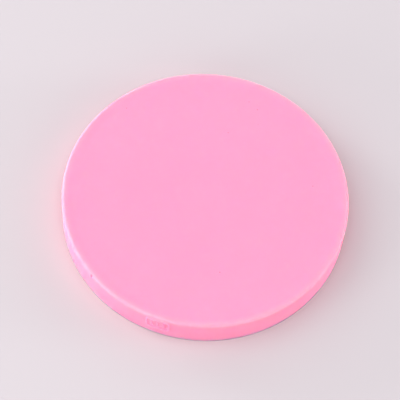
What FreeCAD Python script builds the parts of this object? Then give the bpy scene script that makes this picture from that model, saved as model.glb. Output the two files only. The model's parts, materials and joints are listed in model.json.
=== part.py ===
"""Round silicone resin casting mould: one moulding, resting on its casting face.

Frame: millimetres, +Z up. The origin is the centre of the casting face, which lies on Z = 0 and
holds the cavity's mouth. The flat back is on Z = thickness. The cavity is a flower medallion of
two rings of petals round a beaded button, so that is what a resin casting comes out as.
"""

import FreeCAD, Part
import math
import os

import Sketcher

# name: (value, what it is). Lengths are in millimetres and angles in degrees.
SIZES = {
    "back_radius": (42.0, "outer radius at the back, the wider end of the drafted wall"),
    "wall_taper": (0.1, "how much smaller the outer radius is at the casting face"),
    "thickness": (10.0, "casting face to back"),
    "back_round": (0.9, "round on the back's outer edge"),
    "face_round": (0.2, "round on the casting face's outer edge"),
    "land_width": (6.4, "flat land between the outer edge and the tip of an outer petal"),
    "mouth_round": (0.4, "round on the edge of the cavity's mouth"),
    "crease_round": (0.6, "round on the upright edge between two outer petals"),
    "petal_count": (12, "petals in each ring"),
    "petal_overlap": (1.24, "radius of a petal's lobe over half the spacing of two lobes"),
    "petal_draft": (3.0, "draft of the outer petals' wall"),
    "dome_margin": (0.8, "flat left between the edge of a petal and its dome"),
    "outer_depth": (5.0, "casting face to the floor of the outer petals"),
    "outer_dome": (0.9, "rise of an outer petal's dome"),
    "inner_ring": (21.0, "radius over the tips of the inner petals"),
    "inner_step": (0.9, "outer petals' floor to the inner petals' floor"),
    "inner_dome": (0.7, "rise of an inner petal's dome"),
    "button_radius": (8.0, "radius of the button in the middle"),
    "button_step": (0.7, "inner petals' floor to the button's floor"),
    "button_dome": (0.5, "rise of the button's dome"),
    "button_rim": (2.2, "flat rim round the button's dome, which holds the beads"),
    "bead_count": (18, "beads in the ring round the button"),
    "bead_radius": (0.75, "radius of a bead"),
    "mark_azimuth": (255.3, "where on the wall the raised mark is, turned from +X about +Z"),
    "mark_drop": (1.1, "from the back down to the top of the mark"),
    "mark_width": (7.1, "width of the mark along the wall"),
    "mark_height": (5.0, "height of the mark"),
    "mark_line": (0.5, "width of the mark's raised lines"),
    "mark_proud": (0.3, "how far the mark's lines stand out of the wall"),
    "mark_root": (0.5, "how far the mark's lines run into the wall"),
    "bar_count": (3, "upright bars inside the mark's frame"),
    "bar_height": (2.4, "height of a bar"),
}

# The casting face and the wall, which leans out towards the back.
FACE_RADIUS = "(Sizes.back_radius - Sizes.wall_taper)"
WALL_SLOPE = "(Sizes.wall_taper / Sizes.thickness)"

# The petals. A ring's lobes have their centres on one circle and overlap their neighbours, so a
# lobe's radius is a share of that circle's radius, and the two together reach the petals' tips.
HALF_PITCH = "(180 / Sizes.petal_count)"
LOBE_SHARE = f"(Sizes.petal_overlap * sin({HALF_PITCH} * 1deg))"
OUTER_TIP = f"({FACE_RADIUS} - Sizes.land_width)"
OUTER_CENTRE = f"({OUTER_TIP} / (1 + {LOBE_SHARE}))"
INNER_CENTRE = f"(Sizes.inner_ring / (1 + {LOBE_SHARE}))"

# Depths and radii of the steps towards the middle.
INNER_FLOOR = "(Sizes.outer_depth + Sizes.inner_step)"
BUTTON_FLOOR = f"({INNER_FLOOR} + Sizes.button_step)"
BEAD_RING = "(Sizes.button_radius - Sizes.button_rim / 2)"

# The mark on the wall.
MARK_LOW = "(Sizes.thickness - Sizes.mark_drop - Sizes.mark_height)"
MARK_HIGH = f"({MARK_LOW} + Sizes.mark_height)"
TO_DEGREES = "(180 / pi)"

UP = FreeCAD.Vector(0, 0, 1)
NEAR = 1e-4

# How Sketcher numbers its own axes and origin, and the ends and middle of a piece of geometry.
ACROSS, UPRIGHT = -1, -2
START, END, MIDDLE = 1, 2, 3
SKETCH_ORIGIN = (ACROSS, START)


def make_sheet(doc):
    """The driving dimensions, as a spreadsheet that every feature's expressions read."""
    sheet = doc.addObject("Spreadsheet::Sheet", "Sizes")
    for row, (name, (value, meaning)) in enumerate(SIZES.items(), start=1):
        sheet.set(f"A{row}", name)
        sheet.set(f"B{row}", str(value))
        sheet.set(f"C{row}", meaning)
        sheet.setAlias(f"B{row}", name)
    doc.recompute()


def value_of(doc, expression):
    return float(doc.getObject("Sizes").evalExpression(expression))


def origin_part(body, role):
    return next(o for o in body.Origin.OriginFeatures if o.Role == role)


def add_sketch(body, name, plane):
    sketch = body.newObject("Sketcher::SketchObject", name)
    sketch.AttachmentSupport = [(origin_part(body, plane), "")]
    sketch.MapMode = "FlatFace"
    return sketch


def turn_sketch(sketch, axis, turn):
    """Turns a sketch about one of its own axes by an expression in degrees."""
    sketch.AttachmentOffset = FreeCAD.Placement(FreeCAD.Vector(), FreeCAD.Rotation(axis, 1))
    sketch.setExpression("AttachmentOffset.Rotation.Angle", turn)


def bind(sketch, kind, where, name, expression):
    """A named dimension of a sketch that follows an expression."""
    value = value_of(sketch.Document, expression)
    index = sketch.addConstraint(Sketcher.Constraint(kind, *where, value))
    sketch.renameConstraint(index, name)
    sketch.setExpression(f"Constraints.{name}", expression)


def join(sketch, *points):
    """Makes two points of a sketch one: each is a piece of geometry and which point of it."""
    sketch.addConstraint(Sketcher.Constraint("Coincident", *points))


def put_on(sketch, axis, geometry, point):
    sketch.addConstraint(Sketcher.Constraint("PointOnObject", geometry, point, axis))


def draw_polygon(sketch, corners):
    """A closed outline of straight lines. Each corner is its two distances from the origin."""
    doc = sketch.Document
    points = [FreeCAD.Vector(value_of(doc, x), value_of(doc, y), 0) for x, y in corners]
    for i, point in enumerate(points):
        sketch.addGeometry(Part.LineSegment(point, points[(i + 1) % len(points)]), False)
    for i, (x, y) in enumerate(corners):
        join(sketch, i, END, (i + 1) % len(corners), START)
        if x == "0":
            put_on(sketch, UPRIGHT, i, START)
        else:
            bind(sketch, "DistanceX", (*SKETCH_ORIGIN, i, START), f"across{i}", x)
        if y == "0":
            put_on(sketch, ACROSS, i, START)
        else:
            bind(sketch, "DistanceY", (*SKETCH_ORIGIN, i, START), f"up{i}", y)


def draw_circle(body, name, radius, distance="0", turn="0"):
    """A circle on the casting face, its centre at a distance from the axis and turned about it."""
    sketch = add_sketch(body, name, "XY_Plane")
    middle = FreeCAD.Vector(value_of(body.Document, distance), 0, 0)
    sketch.addGeometry(Part.Circle(middle, UP, value_of(body.Document, radius)), False)
    if distance == "0":
        join(sketch, 0, MIDDLE, *SKETCH_ORIGIN)
    else:
        put_on(sketch, ACROSS, 0, MIDDLE)
        bind(sketch, "DistanceX", (*SKETCH_ORIGIN, 0, MIDDLE), "distance", distance)
        turn_sketch(sketch, UP, turn)
    bind(sketch, "Radius", (0,), "radius", radius)
    return sketch


def draw_cap(body, name, reach, floor, rise, distance="0", turn="0"):
    """Half the section of a dome that stands on a floor, drawn beside the dome's own axis."""
    sketch = add_sketch(body, name, "XZ_Plane")
    sketch.setExpression("AttachmentOffset.Base.x", f"{distance} * cos({turn} * 1deg)")
    sketch.setExpression("AttachmentOffset.Base.z", f"-{distance} * sin({turn} * 1deg)")
    wide, low, up = (value_of(body.Document, size) for size in (reach, floor, rise))
    radius = (wide**2 + up**2) / (2 * up)
    foot = FreeCAD.Vector(0, low, 0)
    crown = FreeCAD.Vector(0, low + up, 0)
    edge = FreeCAD.Vector(wide, low, 0)
    middle = FreeCAD.Vector(0, low + up - radius, 0)
    lean = math.asin((radius - up) / radius)
    sketch.addGeometry(Part.LineSegment(foot, edge), False)
    sketch.addGeometry(Part.ArcOfCircle(Part.Circle(middle, UP, radius), lean, math.pi / 2), False)
    sketch.addGeometry(Part.LineSegment(crown, foot), False)
    join(sketch, 0, END, 1, START)
    join(sketch, 1, END, 2, START)
    join(sketch, 2, END, 0, START)
    sketch.addConstraint(Sketcher.Constraint("Horizontal", 0))
    put_on(sketch, UPRIGHT, 0, START)
    put_on(sketch, UPRIGHT, 1, END)
    put_on(sketch, UPRIGHT, 1, MIDDLE)
    bind(sketch, "DistanceY", (*SKETCH_ORIGIN, 0, START), "floor", floor)
    bind(sketch, "DistanceX", (0, START, 0, END), "reach", reach)
    bind(sketch, "DistanceY", (0, START, 1, END), "rise", rise)
    return sketch


def pocket(body, name, sketch, depth, draft="0"):
    """Cuts a sketch on the casting face up into the body. With a draft it narrows upwards."""
    cut = body.newObject("PartDesign::Pocket", name)
    cut.Profile = sketch
    cut.Reversed = True
    cut.setExpression("Length", depth)
    cut.setExpression("TaperAngle", f"-{draft}")
    body.Document.recompute()
    return cut


def revolve(body, name, kind, sketch, angle="360", midplane=False):
    """A Revolution, or a Groove, of a sketch about its own upright axis."""
    feature = body.newObject(f"PartDesign::{kind}", name)
    feature.Profile = sketch
    feature.ReferenceAxis = (sketch, ["V_Axis"])
    feature.Midplane = midplane
    feature.setExpression("Angle", angle)
    body.Document.recompute()
    return feature


def repeat(body, name, feature, count):
    """Repeats a feature evenly round the mould's axis."""
    pattern = body.newObject("PartDesign::PolarPattern", name)
    pattern.Originals = [feature]
    pattern.Axis = (origin_part(body, "Z_Axis"), [""])
    pattern.Angle = 360
    pattern.setExpression("Occurrences", count)
    body.Tip = pattern
    body.Document.recompute()


def round_edges(body, name, test, radius):
    """Rounds those edges of the body so far that pass a test."""
    before = body.Tip
    edges = [f"Edge{i}" for i, edge in enumerate(before.Shape.Edges, start=1) if test(edge)]
    feature = body.newObject("PartDesign::Fillet", name)
    feature.Base = (before, edges)
    feature.setExpression("Radius", radius)
    body.Document.recompute()


def spans(edge, low, high):
    """Whether an edge reaches from one height to the other, or lies flat where they're the same."""
    box = edge.BoundBox
    return abs(box.ZMin - low) < NEAR and abs(box.ZMax - high) < NEAR


def farthest(edge):
    """The distance from the mould's axis to the far end of an edge."""
    return max(math.hypot(vertex.X, vertex.Y) for vertex in edge.Vertexes)


def add_blank(body):
    """The drafted disc that the cavity is cut into, with its two outer edges rounded."""
    sketch = add_sketch(body, "blank_section", "XZ_Plane")
    casting_face = [("0", "0"), (FACE_RADIUS, "0")]
    back = [("Sizes.back_radius", "Sizes.thickness"), ("0", "Sizes.thickness")]
    draw_polygon(sketch, casting_face + back)
    revolve(body, "blank", "Revolution", sketch)
    top = value_of(body.Document, "Sizes.thickness")
    round_edges(body, "back_edge", lambda edge: spans(edge, top, top), "Sizes.back_round")
    round_edges(body, "face_edge", lambda edge: spans(edge, 0, 0), "Sizes.face_round")


def add_petals(body, ring, centre, floor, draft, turn):
    """A ring of round-tipped petals: one disc out to the lobes' centres, and a lobe each."""
    middle = draw_circle(body, f"{ring}_middle_circle", centre)
    pocket(body, f"{ring}_middle", middle, floor)
    lobe = f"({centre} * {LOBE_SHARE})"
    circle = draw_circle(body, f"{ring}_lobe_circle", lobe, centre, turn)
    petal = pocket(body, f"{ring}_lobe", circle, floor, draft)
    repeat(body, f"{ring}_lobes", petal, "Sizes.petal_count")


def add_domes(body, ring, centre, floor, rise, turn):
    """A low dome in each petal of a ring."""
    reach = f"({centre} * {LOBE_SHARE} - Sizes.dome_margin)"
    section = draw_cap(body, f"{ring}_dome_section", reach, floor, rise, centre, turn)
    dome = revolve(body, f"{ring}_dome", "Groove", section)
    repeat(body, f"{ring}_domes", dome, "Sizes.petal_count")


def round_mouth(body):
    """Rounds the upright edges between the outer petals, then the edge of the cavity's mouth."""
    depth = value_of(body.Document, "Sizes.outer_depth")
    tip = value_of(body.Document, OUTER_TIP)
    # The creases lie well inside the petals' tips, so a quarter of a lobe tells them apart.
    inside_tips = value_of(body.Document, f"{OUTER_TIP} - {OUTER_CENTRE} * {LOBE_SHARE} / 4")

    def in_crease(edge):
        return spans(edge, 0, depth) and farthest(edge) < inside_tips

    def on_mouth(edge):
        return spans(edge, 0, 0) and farthest(edge) < tip + NEAR

    round_edges(body, "creases", in_crease, "Sizes.crease_round")
    round_edges(body, "mouth_edge", on_mouth, "Sizes.mouth_round")


def add_button(body):
    """The button in the middle of the flower, with a low dome inside a ring of beads."""
    circle = draw_circle(body, "button_circle", "Sizes.button_radius")
    pocket(body, "button", circle, BUTTON_FLOOR)
    reach = "(Sizes.button_radius - Sizes.button_rim)"
    dome = draw_cap(body, "button_dome_section", reach, BUTTON_FLOOR, "Sizes.button_dome")
    revolve(body, "button_dome", "Groove", dome)
    ball = "Sizes.bead_radius"
    section = draw_cap(body, "bead_section", ball, BUTTON_FLOOR, ball, BEAD_RING)
    bead = revolve(body, "bead", "Groove", section)
    repeat(body, "beads", bead, "Sizes.bead_count")


def add_line(body, name, low, high, width, sideways="0"):
    """One raised line of the mark. It follows the wall, proud of it and rooted in it."""
    sketch = add_sketch(body, f"{name}_section", "XZ_Plane")
    turn = f"Sizes.mark_azimuth + ({sideways}) / Sizes.back_radius * {TO_DEGREES}"
    turn_sketch(sketch, FreeCAD.Vector(0, 1, 0), turn)
    foot, head = (f"({FACE_RADIUS} + {WALL_SLOPE} * {height})" for height in (low, high))
    inner = [(f"{head} - Sizes.mark_root", high), (f"{foot} - Sizes.mark_root", low)]
    outer = [(f"{foot} + Sizes.mark_proud", low), (f"{head} + Sizes.mark_proud", high)]
    draw_polygon(sketch, inner + outer)
    angle = f"{width} / Sizes.back_radius * {TO_DEGREES}"
    revolve(body, name, "Revolution", sketch, angle, midplane=True)


def add_mark(body):
    """A plain raised frame on the wall, with a row of upright bars inside it."""
    line = "Sizes.mark_line"
    side = f"(Sizes.mark_width - {line}) / 2"
    add_line(body, "mark_bottom", MARK_LOW, f"({MARK_LOW} + {line})", "Sizes.mark_width")
    add_line(body, "mark_top", f"({MARK_HIGH} - {line})", MARK_HIGH, "Sizes.mark_width")
    add_line(body, "mark_left", MARK_LOW, MARK_HIGH, line, f"-{side}")
    add_line(body, "mark_right", MARK_LOW, MARK_HIGH, line, side)
    middle = f"({MARK_LOW} + Sizes.mark_height / 2)"
    foot = f"({middle} - Sizes.bar_height / 2)"
    head = f"({middle} + Sizes.bar_height / 2)"
    count = int(value_of(body.Document, "Sizes.bar_count"))
    for i in range(1, count + 1):
        sideways = f"Sizes.mark_width * ({i} / (Sizes.bar_count + 1) - 1 / 2)"
        add_line(body, f"mark_bar_{i}", foot, head, line, sideways)


def make_mould(doc):
    """The mould, from the blank to the mark, as one body."""
    body = doc.addObject("PartDesign::Body", "mould_body")
    body.Label = "mould_body"
    add_blank(body)
    add_petals(body, "outer", OUTER_CENTRE, "Sizes.outer_depth", "Sizes.petal_draft", "0")
    round_mouth(body)
    add_domes(body, "outer", OUTER_CENTRE, "Sizes.outer_depth", "Sizes.outer_dome", "0")
    add_petals(body, "inner", INNER_CENTRE, INNER_FLOOR, "0", HALF_PITCH)
    add_domes(body, "inner", INNER_CENTRE, INNER_FLOOR, "Sizes.inner_dome", HALF_PITCH)
    add_button(body)
    add_mark(body)
    body.Placement = FreeCAD.Placement()
    return body


def check_features(doc):
    """Stops the run if a feature failed, cut nothing or added nothing."""
    for thing in doc.Objects:
        if {"Invalid", "Error"} & set(thing.State):
            raise RuntimeError(f"{thing.Name} failed")
        if thing.isDerivedFrom("PartDesign::Feature") and thing.BaseFeature:
            change = thing.Shape.Volume - thing.BaseFeature.Shape.Volume
            adds = thing.isDerivedFrom("PartDesign::Revolution")
            if (change > 0) != adds or abs(change) < NEAR:
                raise RuntimeError(f"{thing.Name} changes the volume by {change:.4f} mm3")


def check_solid(body):
    """Stops the run if a sub-part isn't one valid solid."""
    shape = body.Shape
    if shape.isNull() or not shape.isValid() or len(shape.Solids) != 1:
        raise RuntimeError(f"{body.Label} is not one valid solid")


def main():
    doc = FreeCAD.newDocument("resin_mould")
    make_sheet(doc)
    bodies = [make_mould(doc)]
    doc.recompute()
    check_features(doc)
    os.makedirs("parts", exist_ok=True)
    for body in bodies:
        check_solid(body)
        body.Shape.exportStep(os.path.join("parts", f"{body.Label}.step"))
        box = body.Shape.optimalBoundingBox(True, False)
        sides = [round(side, 2) for side in (box.XLength, box.YLength, box.ZLength)]
        print(f"{body.Label}: {sides} mm, {body.Shape.Volume / 1000:.2f} cm3")


main()
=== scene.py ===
# %% [markdown]
# # A silicone casting mould, lying on its face
# Resin workers pour into a soft mould and peel it off the cured casting. This one is a round pink
# disc of silicone rubber, cast in one go, so there is a single piece to make. It lies with its flat
# back up and its cavity, a flower medallion, face down. In Blender nearly all of the work is in two
# things: a surface that is smooth enough for soft light, and rubber that lets light sink in.

# %% Load the frame
import json
import math

import bpy
from mathutils import Matrix, Vector

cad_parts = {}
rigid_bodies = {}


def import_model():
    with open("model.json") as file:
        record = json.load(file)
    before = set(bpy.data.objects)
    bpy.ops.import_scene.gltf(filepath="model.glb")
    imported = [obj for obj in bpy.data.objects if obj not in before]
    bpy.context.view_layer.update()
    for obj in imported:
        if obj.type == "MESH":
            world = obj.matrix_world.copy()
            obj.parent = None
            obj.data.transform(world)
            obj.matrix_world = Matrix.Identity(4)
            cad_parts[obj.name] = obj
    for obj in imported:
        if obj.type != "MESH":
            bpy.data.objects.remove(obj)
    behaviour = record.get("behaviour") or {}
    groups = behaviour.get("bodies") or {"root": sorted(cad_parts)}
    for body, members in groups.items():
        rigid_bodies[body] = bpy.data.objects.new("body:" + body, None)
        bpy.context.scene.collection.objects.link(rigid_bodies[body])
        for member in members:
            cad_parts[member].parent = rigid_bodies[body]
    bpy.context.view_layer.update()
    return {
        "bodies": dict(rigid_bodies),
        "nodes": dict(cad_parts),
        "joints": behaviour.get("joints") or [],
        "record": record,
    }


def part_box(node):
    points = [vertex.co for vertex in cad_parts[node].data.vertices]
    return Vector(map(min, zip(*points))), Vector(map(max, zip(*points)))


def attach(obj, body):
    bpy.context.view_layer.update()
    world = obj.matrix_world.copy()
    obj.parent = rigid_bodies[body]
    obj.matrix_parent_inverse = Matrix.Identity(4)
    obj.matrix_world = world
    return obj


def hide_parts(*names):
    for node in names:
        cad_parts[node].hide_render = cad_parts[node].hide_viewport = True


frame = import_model()

# %% [markdown]
# ## Sizes
# The outer sizes are read from the frame, so the piece always fills the space that the CAD part
# holds. The finer sizes are written once here, in millimetres, and turned into metres, because
# every object in the scene is in metres.

# %% Sizes
MM = 0.001
node_low, node_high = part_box("mould_body")
BACK_RADIUS = (node_high.x - node_low.x) / 2
THICKNESS = node_high.z - node_low.z
WALL_TAPER = 0.1 * MM
FACE_RADIUS = BACK_RADIUS - WALL_TAPER

PETALS = 12
PETAL_OVERLAP = 1.24
LAND_WIDTH = 6.4 * MM
OUTER_TIP = FACE_RADIUS - LAND_WIDTH
INNER_TIP = 21.0 * MM
OUTER_FLOOR = 5.0 * MM
INNER_FLOOR = 5.9 * MM
BUTTON_FLOOR = 6.6 * MM
BUTTON_RADIUS = 8.0 * MM
BEADS = 18
print(f"back {2 * BACK_RADIUS / MM:.1f} mm across, {THICKNESS / MM:.1f} mm thick")

# %% [markdown]
# ## The camera
# The mould is seen from the front and fairly high, with a long lens from some way off, so the
# disc's far edge is hardly smaller than its near edge. The camera is leaned a little to one side,
# which tips the disc in the frame. It is placed from the disc's own size: change the disc and the
# camera keeps its distance in proportion.

# %% Camera
SENSOR = 36.0
FOCAL_SHARE = 5.04
ELEVATION = math.radians(61.9)
LEAN = math.radians(4.58)
DISTANCE = 14.0 * BACK_RADIUS
LOOK_ASIDE = -0.036 * BACK_RADIUS
LOOK_NEARER = -0.037 * BACK_RADIUS


def aim(elevation, lean):
    """The camera's own axes as the columns of a matrix: right, up and backwards."""
    back = Vector((0, -math.cos(elevation), math.sin(elevation)))
    right = Vector((1, 0, 0))
    up = back.cross(right)
    leaned_right = math.cos(lean) * right + math.sin(lean) * up
    leaned_up = math.cos(lean) * up - math.sin(lean) * right
    return Matrix((leaned_right, leaned_up, back)).transposed()


camera_data = bpy.data.cameras.new("camera")
camera_data.sensor_width = SENSOR
camera_data.lens = FOCAL_SHARE * SENSOR
camera = bpy.data.objects.new("camera", camera_data)
bpy.context.scene.collection.objects.link(camera)
axes = aim(ELEVATION, LEAN)
look_at = Vector((LOOK_ASIDE, LOOK_NEARER, THICKNESS))
camera.matrix_world = Matrix.Translation(look_at + DISTANCE * axes.col[2]) @ axes.to_4x4()
bpy.context.scene.camera = camera
print("the camera is", round(DISTANCE, 3), "m from the disc")

# %% [markdown]
# ## Building node trees
# Geometry and material trees are both made of nodes with settings and links, so one small function
# serves both. A link may be given as a whole node, which then means its first output, and a tuple
# of nodes or outputs goes to a socket that takes several.

# %% One function for every node
LINKABLE = (bpy.types.Node, bpy.types.NodeSocket)


def add_node(tree, kind, inputs=(), **settings):
    """A node with its settings. inputs, listed in order or by name, are values or other nodes."""
    made = tree.nodes.new(kind)
    for name, value in settings.items():
        setattr(made, name, value)
    pairs = inputs.items() if isinstance(inputs, dict) else enumerate(inputs)
    for key, value in pairs:
        several = isinstance(value, tuple) and isinstance(value[0], LINKABLE)
        for part in value if several else (value,):
            if isinstance(part, bpy.types.Node):
                part = part.outputs[0]
            if isinstance(part, bpy.types.NodeSocket):
                tree.links.new(part, made.inputs[key])
            elif part is not None:
                made.inputs[key].default_value = part
    return made


MATH = "ShaderNodeMath"
VECTOR_MATH = "ShaderNodeVectorMath"


def new_tree(name, inputs, output):
    """A geometry node tree with named inputs, each a socket type, and one output."""
    tree = bpy.data.node_groups.new(name, "GeometryNodeTree")
    for title, socket_type in inputs.items():
        tree.interface.new_socket(title, in_out="INPUT", socket_type=socket_type)
    tree.interface.new_socket(output[0], in_out="OUTPUT", socket_type=output[1])
    start = add_node(tree, "NodeGroupInput")
    return tree, start.outputs


def finish_tree(tree, result):
    add_node(tree, "NodeGroupOutput", [result])


# %% [markdown]
# ## The petal formula
# A ring of petals is a ring of overlapping circles. Seen from the middle, the distance to such a
# circle's far side has an exact formula, so no drawing is needed. The angle is first folded, as a
# paper snowflake is, so that one petal's half serves for all of them. A little is added inside the
# square root at the fold, because silicone can't hold a knife edge between two petals.

# %% The petal outline, as a node group
CREASE_SOFTNESS = 0.016


def petal_outline():
    """Distance from the middle to a ring's outline: centre and lobe are the circle's, angle folded."""
    floats = dict.fromkeys(("Angle", "Half Pitch", "Centre", "Lobe"), "NodeSocketFloat")
    tree, given = new_tree("petal outline", floats, ("Distance", "NodeSocketFloat"))
    to_fold = add_node(tree, MATH, [given["Half Pitch"], given["Angle"]], operation="SUBTRACT")
    squared = add_node(tree, MATH, [to_fold, to_fold, CREASE_SOFTNESS**2], operation="MULTIPLY_ADD")
    softened = add_node(tree, MATH, [squared], operation="SQRT")
    angle = add_node(tree, MATH, [given["Half Pitch"], softened], operation="SUBTRACT")
    sine = add_node(tree, MATH, [angle], operation="SINE")
    cosine = add_node(tree, MATH, [angle], operation="COSINE")
    along = add_node(tree, MATH, [given["Centre"], cosine], operation="MULTIPLY")
    aside = add_node(tree, MATH, [given["Centre"], sine], operation="MULTIPLY")
    aside_squared = add_node(tree, MATH, [aside, aside], operation="MULTIPLY")
    lobe_squared = add_node(tree, MATH, [given["Lobe"], given["Lobe"]], operation="MULTIPLY")
    left = add_node(tree, MATH, [lobe_squared, aside_squared], operation="SUBTRACT")
    half_chord = add_node(tree, MATH, [left], operation="SQRT")
    finish_tree(tree, add_node(tree, MATH, [along, half_chord], operation="ADD"))
    return tree


outline_group = petal_outline()

# %% [markdown]
# ## The dome formula
# Each petal swells into a low dome, and so does each bead. A dome is the cap of a ball, and its
# height over a spot is Pythagoras again: the ball's radius and the spot's distance from the dome's
# axis. Beyond the dome's rim the height is clamped to nothing.

# %% The dome, as a node group
def dome_height():
    """Height of a ball's cap over a spot: the spot is a radius and a folded angle."""
    names = ("Angle", "Radius", "Centre", "Reach", "Rise")
    floats = dict.fromkeys(names, "NodeSocketFloat")
    tree, given = new_tree("dome", floats, ("Height", "NodeSocketFloat"))
    cosine = add_node(tree, MATH, [given["Angle"]], operation="COSINE")
    sine = add_node(tree, MATH, [given["Angle"]], operation="SINE")
    along = add_node(tree, MATH, [given["Radius"], cosine], operation="MULTIPLY")
    beyond = add_node(tree, MATH, [along, given["Centre"]], operation="SUBTRACT")
    aside = add_node(tree, MATH, [given["Radius"], sine], operation="MULTIPLY")
    aside_squared = add_node(tree, MATH, [aside, aside], operation="MULTIPLY")
    distance = add_node(tree, MATH, [beyond, beyond, aside_squared], operation="MULTIPLY_ADD")
    rise_squared = add_node(tree, MATH, [given["Rise"], given["Rise"]], operation="MULTIPLY")
    both = add_node(tree, MATH, [given["Reach"], given["Reach"], rise_squared], operation="MULTIPLY_ADD")
    twice_rise = add_node(tree, MATH, [given["Rise"], 2.0], operation="MULTIPLY")
    ball = add_node(tree, MATH, [both, twice_rise], operation="DIVIDE")
    ball_squared = add_node(tree, MATH, [ball, ball], operation="MULTIPLY")
    left = add_node(tree, MATH, [ball_squared, distance], operation="SUBTRACT")
    floor = add_node(tree, MATH, [left, 0.0], operation="MAXIMUM")
    root = add_node(tree, MATH, [floor], operation="SQRT")
    above = add_node(tree, MATH, [root, ball], operation="SUBTRACT")
    height = add_node(tree, MATH, [above, given["Rise"]], operation="ADD")
    finish_tree(tree, add_node(tree, MATH, [height, 0.0], operation="MAXIMUM"))
    return tree


dome_group = dome_height()

# %% [markdown]
# ## The half section
# A round thing is best described by its half section: the line from the middle of the underside,
# through the cavity, round the outside and back to the middle of the top. Each stretch of it says
# how many rows of the mesh it gets. Besides its radius and height, each point says how strongly it
# follows the petals' outlines, and which domes stand on it.

# %% Draw the half section
OUTLINES = ("outer", "inset", "inner")
RELIEFS = ("outer_dome", "inner_dome", "bead")


class Section:
    """The points of a half section, each with its values, drawn stretch by stretch."""

    def __init__(self):
        self.points = []
        self.values = []

    def add(self, radius, height, **values):
        self.points.append((radius, 0.0, height))
        self.values.append(values)

    def line(self, steps, radius, height, **values):
        """A straight run to a radius and height. The values turn evenly into the new ones."""
        (start_radius, _, start_height), before = self.points[-1], self.values[-1]
        for step in range(1, steps + 1):
            t = step / steps
            names = set(before) | set(values)
            now = {n: before.get(n, 0) * (1 - t) + values.get(n, 0) * t for n in names}
            self.add(
                start_radius + t * (radius - start_radius),
                start_height + t * (height - start_height),
                **now,
            )

    def arc(self, steps, centre, size, start, end, **values):
        """A round: start and end are angles in degrees, 0 outwards and 90 up."""
        for step in range(steps + 1):
            turn = math.radians(start + (end - start) * step / steps)
            self.add(
                centre[0] + size * math.cos(turn), centre[1] + size * math.sin(turn), **values
            )


FLOOR_ROUND = 0.3 * MM
STEP_ROUND = 0.2 * MM
MOUTH_ROUND = 0.4 * MM
FACE_ROUND = 0.2 * MM
BACK_ROUND = 0.9 * MM
BUTTON_DOME = 0.5 * MM
BEAD_RIM = 2.2 * MM
CAVITY_DRAFT = OUTER_FLOOR * math.tan(math.radians(3))
LIP_RISE = 0.14 * MM
LIP_WIDTH = 3.0 * MM
MERGE_GAP = 0.001 * MM


def draw_step(section, radius, low, high, **values):
    """An upright step in the cavity, from its deep side out to its shallow side, both rounded."""
    section.arc(3, (radius - STEP_ROUND, low - STEP_ROUND), STEP_ROUND, 90, 0, **values)
    section.arc(3, (radius + STEP_ROUND, high + STEP_ROUND), STEP_ROUND, 180, 270, **values)


def draw_cavity(section):
    """From the middle of the button to the mouth."""
    reach = BUTTON_RADIUS - BEAD_RIM
    section.add(0, BUTTON_FLOOR + BUTTON_DOME)
    for step in range(1, 11):
        radius = reach * step / 10
        section.add(radius, BUTTON_FLOOR + BUTTON_DOME * (1 - (radius / reach) ** 2))
    section.line(15, BUTTON_RADIUS - STEP_ROUND, BUTTON_FLOOR, bead=1)
    draw_step(section, BUTTON_RADIUS, BUTTON_FLOOR, INNER_FLOOR)
    section.line(22, INNER_TIP - STEP_ROUND, INNER_FLOOR, inner=1, inner_dome=1)
    draw_step(section, INNER_TIP, INNER_FLOOR, OUTER_FLOOR, inner=1, outer_dome=1)
    foot = OUTER_TIP - CAVITY_DRAFT
    on_wall = {"outer": 1, "inset": CAVITY_DRAFT}
    section.line(26, foot - FLOOR_ROUND, OUTER_FLOOR, outer_dome=1, **on_wall)
    section.arc(3, (foot - FLOOR_ROUND, OUTER_FLOOR - FLOOR_ROUND), FLOOR_ROUND, 90, 0, **on_wall)
    section.line(6, OUTER_TIP, MOUTH_ROUND, outer=1)
    section.arc(4, (OUTER_TIP + MOUTH_ROUND, MOUTH_ROUND), MOUTH_ROUND, 180, 270, outer=1)


def draw_outside(section):
    """From the mouth over the land, up the wall, over the raised lip and across the back."""
    section.line(10, FACE_RADIUS - FACE_ROUND, 0)
    section.arc(5, (FACE_RADIUS - FACE_ROUND, FACE_ROUND), FACE_ROUND, -90, 0)
    corner = (BACK_RADIUS - BACK_ROUND, THICKNESS - BACK_ROUND)
    section.line(22, BACK_RADIUS, corner[1])
    section.arc(8, corner, BACK_ROUND, 0, 90)
    for step in range(1, 13):
        t = step / 12
        drop = LIP_RISE * t * t * (3 - 2 * t)
        section.add(corner[0] - LIP_WIDTH * t, THICKNESS - drop)
    section.line(24, 0, THICKNESS - LIP_RISE)


def without_doubles(section):
    """Drops each point that lies on the one before it, as where an arc starts."""
    kept = [0]
    for i in range(1, len(section.points)):
        if math.dist(section.points[i], section.points[kept[-1]]) > MERGE_GAP:
            kept.append(i)
    return [section.points[i] for i in kept], [section.values[i] for i in kept]


section = Section()
draw_cavity(section)
draw_outside(section)
points, values = without_doubles(section)
ROWS = len(points)
profile = bpy.data.meshes.new("mould_section")
profile.from_pydata(points, [], [])
for title, names in (("outline", OUTLINES), ("relief", RELIEFS)):
    layer = profile.attributes.new(title, "FLOAT_VECTOR", "POINT")
    layer.data.foreach_set("vector", [row.get(name, 0) for row in values for name in names])
print("the half section has", ROWS, "points")

# %% [markdown]
# ## Turning the section round the axis
# A Spin would make a plain round dish. Here a grid is bent round instead: its rows are the points
# of the section and its columns go round the axis, and each corner's radius and height are looked
# up and then changed by the petal and dome formulas. The grid's two ends meet and its poles are
# single points once they are merged, so the result is one closed skin. A faint unevenness is added
# last, because poured rubber is never quite flat. It only ever goes inwards, so the mould stays in
# its own space.

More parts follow.
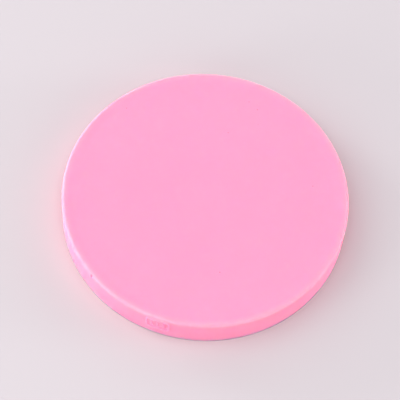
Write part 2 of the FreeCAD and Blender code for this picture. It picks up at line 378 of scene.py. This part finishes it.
# %% The mould's geometry tree
COLUMNS = 480
UNEVENNESS = 0.05 * MM
LOBE_SHARE = PETAL_OVERLAP * math.sin(math.pi / PETALS)
OUTER_CENTRE = OUTER_TIP / (1 + LOBE_SHARE)
INNER_CENTRE = INNER_TIP / (1 + LOBE_SHARE)
DOME_MARGIN = 0.8 * MM
OUTER_RISE = 0.9 * MM
INNER_RISE = 0.7 * MM
BEAD_REACH = 0.75 * MM
BEAD_RISE = 0.7 * MM
WAVE_LENGTH = 18 * MM


def fold(tree, angle, count, shift):
    """The angle from the middle of the nearest of count sectors, the first one turned by shift."""
    half = math.pi / count
    turned = add_node(tree, MATH, [angle, shift], operation="ADD")
    return add_node(tree, MATH, [turned, half], operation="PINGPONG")


def looked_up(tree, geometry, row, attribute):
    """The value of the section's attribute at a row, as three numbers."""
    name = add_node(tree, "GeometryNodeInputNamedAttribute", [attribute], data_type="FLOAT_VECTOR")
    inputs = {"Geometry": geometry, "Value": name, "Index": row}
    sample = add_node(tree, "GeometryNodeSampleIndex", inputs, data_type="FLOAT_VECTOR")
    return add_node(tree, "ShaderNodeSeparateXYZ", [sample]).outputs


def mould_tree():
    sockets = {
        "Section": "NodeSocketGeometry",
        "Rows": "NodeSocketInt",
        "Columns": "NodeSocketInt",
        "Unevenness": "NodeSocketFloat",
        "Silicone": "NodeSocketMaterial",
    }
    tree, given = new_tree("mould", sockets, ("Mould", "NodeSocketGeometry"))
    across = add_node(tree, MATH, [given["Columns"], 1.0], operation="ADD")
    counts = {"Vertices X": across, "Vertices Y": given["Rows"]}
    grid = add_node(tree, "GeometryNodeMeshGrid", counts)
    index = add_node(tree, "GeometryNodeInputIndex")
    row = add_node(tree, MATH, [index, given["Rows"]], operation="MODULO")
    column = add_node(tree, MATH, [index, given["Rows"]], operation="DIVIDE")
    whole = add_node(tree, MATH, [column], operation="FLOOR")
    share = add_node(tree, MATH, [whole, given["Columns"]], operation="DIVIDE")
    angle = add_node(tree, MATH, [share, math.tau], operation="MULTIPLY")

    place = looked_up(tree, given["Section"], row, "position")
    follow = looked_up(tree, given["Section"], row, "outline")
    relief = looked_up(tree, given["Section"], row, "relief")

    half = math.pi / PETALS
    outer_angle = fold(tree, angle, PETALS, 0.0)
    inner_angle = fold(tree, angle, PETALS, half)
    bead_angle = fold(tree, angle, BEADS, 0.0)

    # The petals' outlines, each as its difference from the petal's tip.
    outer_lobe = add_node(tree, MATH, [OUTER_CENTRE * LOBE_SHARE, follow[1]], operation="SUBTRACT")
    ring = {"Angle": outer_angle, "Half Pitch": half, "Centre": OUTER_CENTRE, "Lobe": outer_lobe}
    outer = add_node(tree, "GeometryNodeGroup", ring, node_tree=outline_group)
    outer_tip = add_node(tree, MATH, [outer_lobe, OUTER_CENTRE], operation="ADD")
    outer_change = add_node(tree, MATH, [outer, outer_tip], operation="SUBTRACT")

    inner_lobe = INNER_CENTRE * LOBE_SHARE
    ring = {"Angle": inner_angle, "Half Pitch": half, "Centre": INNER_CENTRE, "Lobe": inner_lobe}
    inner = add_node(tree, "GeometryNodeGroup", ring, node_tree=outline_group)
    inner_change = add_node(tree, MATH, [inner, INNER_TIP], operation="SUBTRACT")

    radius = add_node(tree, MATH, [outer_change, follow[0], place[0]], operation="MULTIPLY_ADD")
    radius = add_node(tree, MATH, [inner_change, follow[2], radius], operation="MULTIPLY_ADD")

    # The domes and beads, each only where the section says that it stands.
    height = place[2]
    outer_reach = OUTER_CENTRE * LOBE_SHARE - DOME_MARGIN
    shapes = (
        (outer_angle, OUTER_CENTRE, outer_reach, OUTER_RISE, relief[0]),
        (inner_angle, INNER_CENTRE, inner_lobe - DOME_MARGIN, INNER_RISE, relief[1]),
        (bead_angle, BUTTON_RADIUS - BEAD_RIM / 2, BEAD_REACH, BEAD_RISE, relief[2]),
    )
    for folded, centre, reach, rise, strength in shapes:
        spot = {"Angle": folded, "Radius": radius, "Centre": centre, "Reach": reach, "Rise": rise}
        dome = add_node(tree, "GeometryNodeGroup", spot, node_tree=dome_group)
        height = add_node(tree, MATH, [dome, strength, height], operation="MULTIPLY_ADD")

    flat = add_node(tree, "ShaderNodeCombineXYZ", [radius, 0.0, height])
    turned = add_node(
        tree, "ShaderNodeVectorRotate", {"Vector": flat, "Angle": angle}, rotation_type="Z_AXIS"
    )
    bent = add_node(tree, "GeometryNodeSetPosition", {"Geometry": grid, "Position": turned})
    closed = add_node(tree, "GeometryNodeMergeByDistance", {"Geometry": bent, "Distance": MERGE_GAP})

    # Slow, shallow waves along the normals, from nothing to the whole unevenness inwards.
    noise = add_node(tree, "ShaderNodeTexNoise", {"Scale": 1 / WAVE_LENGTH, "Detail": 1.0})
    inwards = add_node(tree, MATH, [noise, 1.0], operation="SUBTRACT")
    amount = add_node(tree, MATH, [inwards, given["Unevenness"]], operation="MULTIPLY")
    normal = add_node(tree, "GeometryNodeInputNormal")
    shift = add_node(tree, VECTOR_MATH, {"Vector": normal, "Scale": amount}, operation="SCALE")
    waved = add_node(tree, "GeometryNodeSetPosition", {"Geometry": closed, "Offset": shift})
    smooth = add_node(tree, "GeometryNodeSetShadeSmooth", [waved])
    real = add_node(tree, "GeometryNodeRealizeInstances", [smooth])
    coated = {"Geometry": real, "Material": given["Silicone"]}
    finish_tree(tree, add_node(tree, "GeometryNodeSetMaterial", coated))
    return tree


# %% [markdown]
# ## The mark on the wall
# Makers raise a small mark on a mould's wall, so that it can be told from its neighbours in a
# drawer. Here it is a plain frame round three bars. Each line is a curve with a round section, half
# sunk in the wall. The whole mark is drawn flat and then bent round the mould: a distance along the
# wall, divided by the radius, is an angle. A union makes it one piece with the mould, because it is
# the same rubber. The wall also has one small nick at its top edge, from the knife that freed the
# mould, and it is cut in the same tree.

# %% The mark's geometry tree
MARK_AZIMUTH = math.radians(255.3)
MARK_DROP = 1.1 * MM
MARK_WIDTH = 7.1 * MM
MARK_HEIGHT = 5.0 * MM
MARK_MIDDLE = THICKNESS - MARK_DROP - MARK_HEIGHT / 2
MARK_PROUD = 0.3 * MM
MARK_LINE = 0.5 * MM
BAR_COUNT = 3
BAR_HEIGHT = 2.4 * MM
MARK_CORNER = 0.6 * MM
LINE_SPACING = 0.15 * MM
WALL_SLOPE = WALL_TAPER / THICKNESS
NICK_AZIMUTH = math.radians(223)
NICK_DROP = 0.7 * MM
NICK_HALVES = (0.45 * MM, 0.4 * MM, 1.1 * MM)


def flat_mark(tree, given):
    """The frame and its bars as tubes, lying in the XY plane round the origin."""
    wide = add_node(tree, MATH, [given["Width"], given["Line"]], operation="SUBTRACT")
    high = add_node(tree, MATH, [given["Height"], given["Line"]], operation="SUBTRACT")
    size = {"Width": wide, "Height": high}
    frame = add_node(tree, "GeometryNodeCurvePrimitiveQuadrilateral", size)
    corner = {"Curve": frame, "Radius": MARK_CORNER, "Count": 5}
    rounded = add_node(tree, "GeometryNodeFilletCurve", corner, mode="POLY")

    gaps = add_node(tree, MATH, [given["Bars"], 1.0], operation="ADD")
    gap = add_node(tree, MATH, [given["Width"], gaps], operation="DIVIDE")
    first = add_node(tree, MATH, [given["Width"], -0.5, gap], operation="MULTIPLY_ADD")
    start = add_node(tree, "ShaderNodeCombineXYZ", [first])
    step = add_node(tree, "ShaderNodeCombineXYZ", [gap])
    row = {"Count": given["Bars"], "Start Location": start, "Offset": step}
    places = add_node(tree, "GeometryNodeMeshLine", row, mode="OFFSET")
    up = add_node(tree, MATH, [given["Bar Height"], 0.5], operation="MULTIPLY")
    down = add_node(tree, MATH, [given["Bar Height"], -0.5], operation="MULTIPLY")
    head = add_node(tree, "ShaderNodeCombineXYZ", [0.0, up])
    foot = add_node(tree, "ShaderNodeCombineXYZ", [0.0, down])
    bar = add_node(tree, "GeometryNodeCurvePrimitiveLine", {"Start": foot, "End": head})
    bars = add_node(tree, "GeometryNodeInstanceOnPoints", {"Points": places, "Instance": bar})
    real = add_node(tree, "GeometryNodeRealizeInstances", [bars])

    lines = add_node(tree, "GeometryNodeJoinGeometry", {"Geometry": (rounded, real)})
    spacing = {"Curve": lines, "Length": LINE_SPACING}
    dense = add_node(tree, "GeometryNodeResampleCurve", spacing, mode="LENGTH")
    radius = add_node(tree, MATH, [given["Line"], 0.5], operation="MULTIPLY")
    ring = {"Resolution": 12, "Radius": radius}
    section = add_node(tree, "GeometryNodeCurvePrimitiveCircle", ring)
    tubes = {"Curve": dense, "Profile Curve": section, "Fill Caps": True}
    return add_node(tree, "GeometryNodeCurveToMesh", tubes), radius


def mark_tree():
    """The mould with the mark raised on its wall and the nick cut."""
    sizes = dict.fromkeys(("Width", "Height", "Line", "Bar Height"), "NodeSocketFloat")
    others = {"Bars": "NodeSocketInt", "Silicone": "NodeSocketMaterial"}
    sockets = {"Mould": "NodeSocketGeometry", **sizes, **others}
    tree, given = new_tree("mark", sockets, ("Marked", "NodeSocketGeometry"))
    tubes, line_radius = flat_mark(tree, given)

    place = add_node(tree, "ShaderNodeSeparateXYZ", [add_node(tree, "GeometryNodeInputPosition")])
    along, up, out = place.outputs
    angle = add_node(tree, MATH, [along, 1 / BACK_RADIUS, MARK_AZIMUTH], operation="MULTIPLY_ADD")
    height = add_node(tree, MATH, [up, MARK_MIDDLE], operation="ADD")
    proud = [height, WALL_SLOPE, FACE_RADIUS + MARK_PROUD]
    wall = add_node(tree, MATH, proud, operation="MULTIPLY_ADD")
    sunk = add_node(tree, MATH, [wall, line_radius], operation="SUBTRACT")
    radius = add_node(tree, MATH, [sunk, out], operation="ADD")
    flat = add_node(tree, "ShaderNodeCombineXYZ", [radius, 0.0, height])
    turned = add_node(
        tree, "ShaderNodeVectorRotate", {"Vector": flat, "Angle": angle}, rotation_type="Z_AXIS"
    )
    mark = add_node(tree, "GeometryNodeSetPosition", {"Geometry": tubes, "Position": turned})
    marked = add_node(
        tree,
        "GeometryNodeMeshBoolean",
        {"Mesh 2": (given["Mould"], mark)},
        operation="UNION",
        solver="MANIFOLD",
    )

    ball = add_node(tree, "GeometryNodeMeshIcoSphere", {"Radius": 1.0, "Subdivisions": 4})
    spot = Matrix.Rotation(NICK_AZIMUTH, 3, "Z") @ Vector((BACK_RADIUS, 0, THICKNESS - NICK_DROP))
    shape = {
        "Geometry": ball,
        "Translation": spot,
        "Rotation": (0.0, 0.0, NICK_AZIMUTH),
        "Scale": NICK_HALVES,
    }
    nick = add_node(tree, "GeometryNodeTransform", shape)
    cut = add_node(
        tree,
        "GeometryNodeMeshBoolean",
        {"Mesh 1": marked, "Mesh 2": nick},
        operation="DIFFERENCE",
        solver="MANIFOLD",
    )
    smooth = add_node(tree, "GeometryNodeSetShadeSmooth", [cut])
    real = add_node(tree, "GeometryNodeRealizeInstances", [smooth])
    coated = {"Geometry": real, "Material": given["Silicone"]}
    finish_tree(tree, add_node(tree, "GeometryNodeSetMaterial", coated))
    return tree


# %% [markdown]
# ## From hex to light
# Colours are picked on a screen, in sRGB, but light adds up in linear numbers, so one function does
# the change.

# %% Colours
def linear(hex_colour):
    """An sRGB hex colour as the linear numbers that a shader takes."""
    channels = [int(hex_colour[i : i + 2], 16) / 255 for i in (1, 3, 5)]
    return [c / 12.92 if c <= 0.04045 else ((c + 0.055) / 1.055) ** 2.4 for c in channels] + [1.0]


def new_material(name):
    material = bpy.data.materials.new(name)
    material.use_nodes = True
    material.node_tree.nodes.clear()
    return material, material.node_tree


# %% [markdown]
# ## The silicone
# Platinum-cure silicone is milky by nature, and a pigment paste stirred into it makes it pink. Light
# goes a few millimetres in before it comes out again, red the farthest. The mould was poured against
# a smooth master, which leaves it satin, not glossy. Along its back edge the colour is painted paler:
# a painted highlight, standing in for the light that leaves sooner where there is rubber on one
# side only and meets less pigment. The band comes from the distance to the edge's own circle, which
# Pythagoras gives from the radius and the height. Rubber also holds dust. Each speck is a small
# ball round a point of a Voronoi pattern, so the surface cuts most of them small, and the sizes
# vary as they do in life.

# %% Pigmented silicone, cast
SILICONE_COLOURS = ("#FD7D9D", "#FE80A0")
# The painted highlight's paler colour along the back's outer edge, and how far in it reaches.
PAINTED_RIM_HIGHLIGHT_COLOUR = "#FE889C"
PAINTED_RIM_HIGHLIGHT_REACH = 2.4 * MM
SILICONE_DEPTH = 8 * MM
SILICONE_RADII = (1.0, 0.15, 0.25)
SILICONE_ROUGHNESS = 0.55
STREAK_SIZE = 22 * MM
GRAIN_SIZE = 0.35 * MM
GRAIN_DEPTH = 0.05 * MM
DUST_COLOUR = "#B7647F"
DUST_SPACING = 6 * MM
DUST_RADIUS = 0.2 * MM


def painted_rim_highlight_mask(tree, place):
    """Mask of the painted rim highlight: 1 at the back's outer edge, falling to 0 at its set reach."""
    parts = add_node(tree, "ShaderNodeSeparateXYZ", [place]).outputs
    across = add_node(tree, "ShaderNodeCombineXYZ", [parts[0], parts[1]])
    radius = add_node(tree, VECTOR_MATH, [across], operation="LENGTH").outputs["Value"]
    inside = add_node(tree, MATH, [radius, BACK_RADIUS], operation="SUBTRACT")
    below = add_node(tree, MATH, [parts[2], THICKNESS], operation="SUBTRACT")
    gap = add_node(tree, "ShaderNodeCombineXYZ", [inside, below])
    distance = add_node(tree, VECTOR_MATH, [gap], operation="LENGTH").outputs["Value"]
    ends = {"Value": distance, "From Max": PAINTED_RIM_HIGHLIGHT_REACH, "To Min": 1.0, "To Max": 0.0}
    return add_node(tree, "ShaderNodeMapRange", ends, interpolation_type="SMOOTHSTEP")


def cast_silicone():
    material, tree = new_material("pink_platinum_silicone_cast")
    place = add_node(tree, "ShaderNodeTexCoord").outputs["Object"]
    streaks = {"Vector": place, "Scale": 1 / STREAK_SIZE, "Detail": 3.0}
    stirred = add_node(tree, "ShaderNodeTexNoise", streaks)
    body, streak = (linear(colour) for colour in SILICONE_COLOURS)
    mix = {"Factor": stirred, "A": body, "B": streak}
    pigment = add_node(tree, "ShaderNodeMix", mix, data_type="RGBA").outputs[2]
    # Painted highlight: the colour is mixed paler towards the back's outer edge.
    mix = {"Factor": painted_rim_highlight_mask(tree, place), "A": pigment, "B": linear(PAINTED_RIM_HIGHLIGHT_COLOUR)}
    colour = add_node(tree, "ShaderNodeMix", mix, data_type="RGBA").outputs[2]
    cells = {"Vector": place, "Scale": 1 / DUST_SPACING}
    gap = add_node(tree, "ShaderNodeTexVoronoi", cells).outputs["Distance"]
    dust = add_node(tree, MATH, [gap, DUST_RADIUS / DUST_SPACING], operation="LESS_THAN")
    mix = {"Factor": dust, "A": colour, "B": linear(DUST_COLOUR)}
    colour = add_node(tree, "ShaderNodeMix", mix, data_type="RGBA").outputs[2]
    fine = {"Vector": place, "Scale": 1 / GRAIN_SIZE, "Detail": 2.0}
    grain = add_node(tree, "ShaderNodeTexNoise", fine)
    relief = {"Height": grain, "Strength": 0.12, "Distance": GRAIN_DEPTH}
    bump = add_node(tree, "ShaderNodeBump", relief)
    surface = add_node(
        tree,
        "ShaderNodeBsdfPrincipled",
        {
            "Base Color": colour,
            "Roughness": SILICONE_ROUGHNESS,
            "IOR": 1.41,
            "Normal": bump,
            "Subsurface Weight": 1.0,
            "Subsurface Radius": SILICONE_RADII,
            "Subsurface Scale": SILICONE_DEPTH,
        },
    )
    add_node(tree, "ShaderNodeOutputMaterial", [surface])
    return material


silicone = cast_silicone()
print("material", silicone.name)

# %% [markdown]
# ## Making the mould
# The section becomes an object, the tree does the rest, and the result is then kept as a plain
# mesh, so that nothing live is left on the finished piece.

# %% Make the mould
def set_inputs(modifier, chosen):
    """Sets a geometry tree's inputs. A modifier knows them by their identifiers."""
    for item in modifier.node_group.interface.items_tree:
        if item.in_out == "INPUT" and item.name in chosen:
            modifier[item.identifier] = chosen[item.name]


def grow(piece, tree, chosen):
    """Runs a geometry tree on a piece and keeps the plain mesh that comes out."""
    modifier = piece.modifiers.new(tree.name, "NODES")
    modifier.node_group = tree
    set_inputs(modifier, chosen)
    evaluated = piece.evaluated_get(bpy.context.evaluated_depsgraph_get())
    mesh = bpy.data.meshes.new_from_object(evaluated)
    piece.modifiers.clear()
    piece.data = mesh
    mesh.name = piece.name


mould = bpy.data.objects.new("silicone_mould", profile)
bpy.context.scene.collection.objects.link(mould)
turned = {"Rows": ROWS, "Columns": COLUMNS, "Unevenness": UNEVENNESS}
grow(mould, mould_tree(), {**turned, "Silicone": silicone})
frame_size = {"Width": MARK_WIDTH, "Height": MARK_HEIGHT, "Line": MARK_LINE}
bars = {"Bars": BAR_COUNT, "Bar Height": BAR_HEIGHT}
grow(mould, mark_tree(), {**frame_size, **bars, "Silicone": silicone})
print("the mould has", len(mould.data.polygons), "faces")

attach(mould, "root")
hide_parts("mould_body")

# %% [markdown]
# ## The bench
# A sheet of pale board, matt enough to show no reflection, on which the mould's soft shadow lies.

# %% Floor
BOARD_COLOUR = "#A6A0A4"


def painted_board():
    material, tree = new_material("matt_painted_board")
    surface = add_node(
        tree,
        "ShaderNodeBsdfPrincipled",
        {"Base Color": linear(BOARD_COLOUR), "Roughness": 0.85, "Specular IOR Level": 0.2},
    )
    add_node(tree, "ShaderNodeOutputMaterial", [surface])
    return material


FLOOR_HALF = 1.5
floor_mesh = bpy.data.meshes.new("bench")
corners = [(x * FLOOR_HALF, y * FLOOR_HALF, 0) for x, y in ((-1, -1), (1, -1), (1, 1), (-1, 1))]
floor_mesh.from_pydata(corners, [], [(0, 1, 2, 3)])
floor_mesh.materials.append(painted_board())
bench = bpy.data.objects.new("bench", floor_mesh)
bpy.context.scene.collection.objects.link(bench)

# %% [markdown]
# ## The light
# A small light tent stands round the bench. Its six walls glow softly. Its top lights the flat back,
# and leans to the front so that no shadow lies there. A window high on the left is what gives the
# shadow its side. Three small boxes of light stand almost on the bench, two on the left and one on
# the right. They graze the bench, so they hardly change the shadow, but they face the mould's wall
# and lift it.

# %% Lights
ROOM_COLOUR = "#FFFCFE"
ROOM_STRENGTH = 0.5
bpy.context.scene.view_settings.view_transform = "Standard"
world = bpy.data.worlds.new("pale_room")
world.use_nodes = True
world.node_tree.nodes["Background"].inputs["Color"].default_value = linear(ROOM_COLOUR)
world.node_tree.nodes["Background"].inputs["Strength"].default_value = ROOM_STRENGTH
bpy.context.scene.world = world

WALL_COUNT = 6
WALL = {"distance": 1.2, "size": 0.8}
BOX = {"distance": 1.2, "size": 0.34}


def add_lamp(name, azimuth, elevation, power, distance, size):
    """A square soft lamp that faces the mould: azimuth 0 is +X and elevation 90 is overhead."""
    turn, rise = math.radians(azimuth), math.radians(elevation)
    flat = math.cos(rise)
    toward = Vector((flat * math.cos(turn), flat * math.sin(turn), math.sin(rise)))
    lamp = bpy.data.lights.new(name, "AREA")
    lamp.size = size
    lamp.energy = power
    holder = bpy.data.objects.new(name, lamp)
    facing = toward.to_track_quat("Z", "Y").to_matrix().to_4x4()
    holder.matrix_world = Matrix.Translation(distance * toward) @ facing
    bpy.context.scene.collection.objects.link(holder)


for number in range(WALL_COUNT):
    turn = 360 * number / WALL_COUNT
    add_lamp(f"tent_wall_{number}", azimuth=turn, elevation=18, power=3.9, **WALL)
add_lamp("tent_top", azimuth=270, elevation=79, power=9.0, **WALL)
add_lamp("window", azimuth=180, elevation=50, power=7.3, **WALL)
add_lamp("low_box_back_left", azimuth=150, elevation=9, power=9.6, **BOX)
add_lamp("low_box_front_left", azimuth=215, elevation=9, power=6.8, **BOX)
add_lamp("low_box_right", azimuth=0, elevation=9, power=6.6, **BOX)
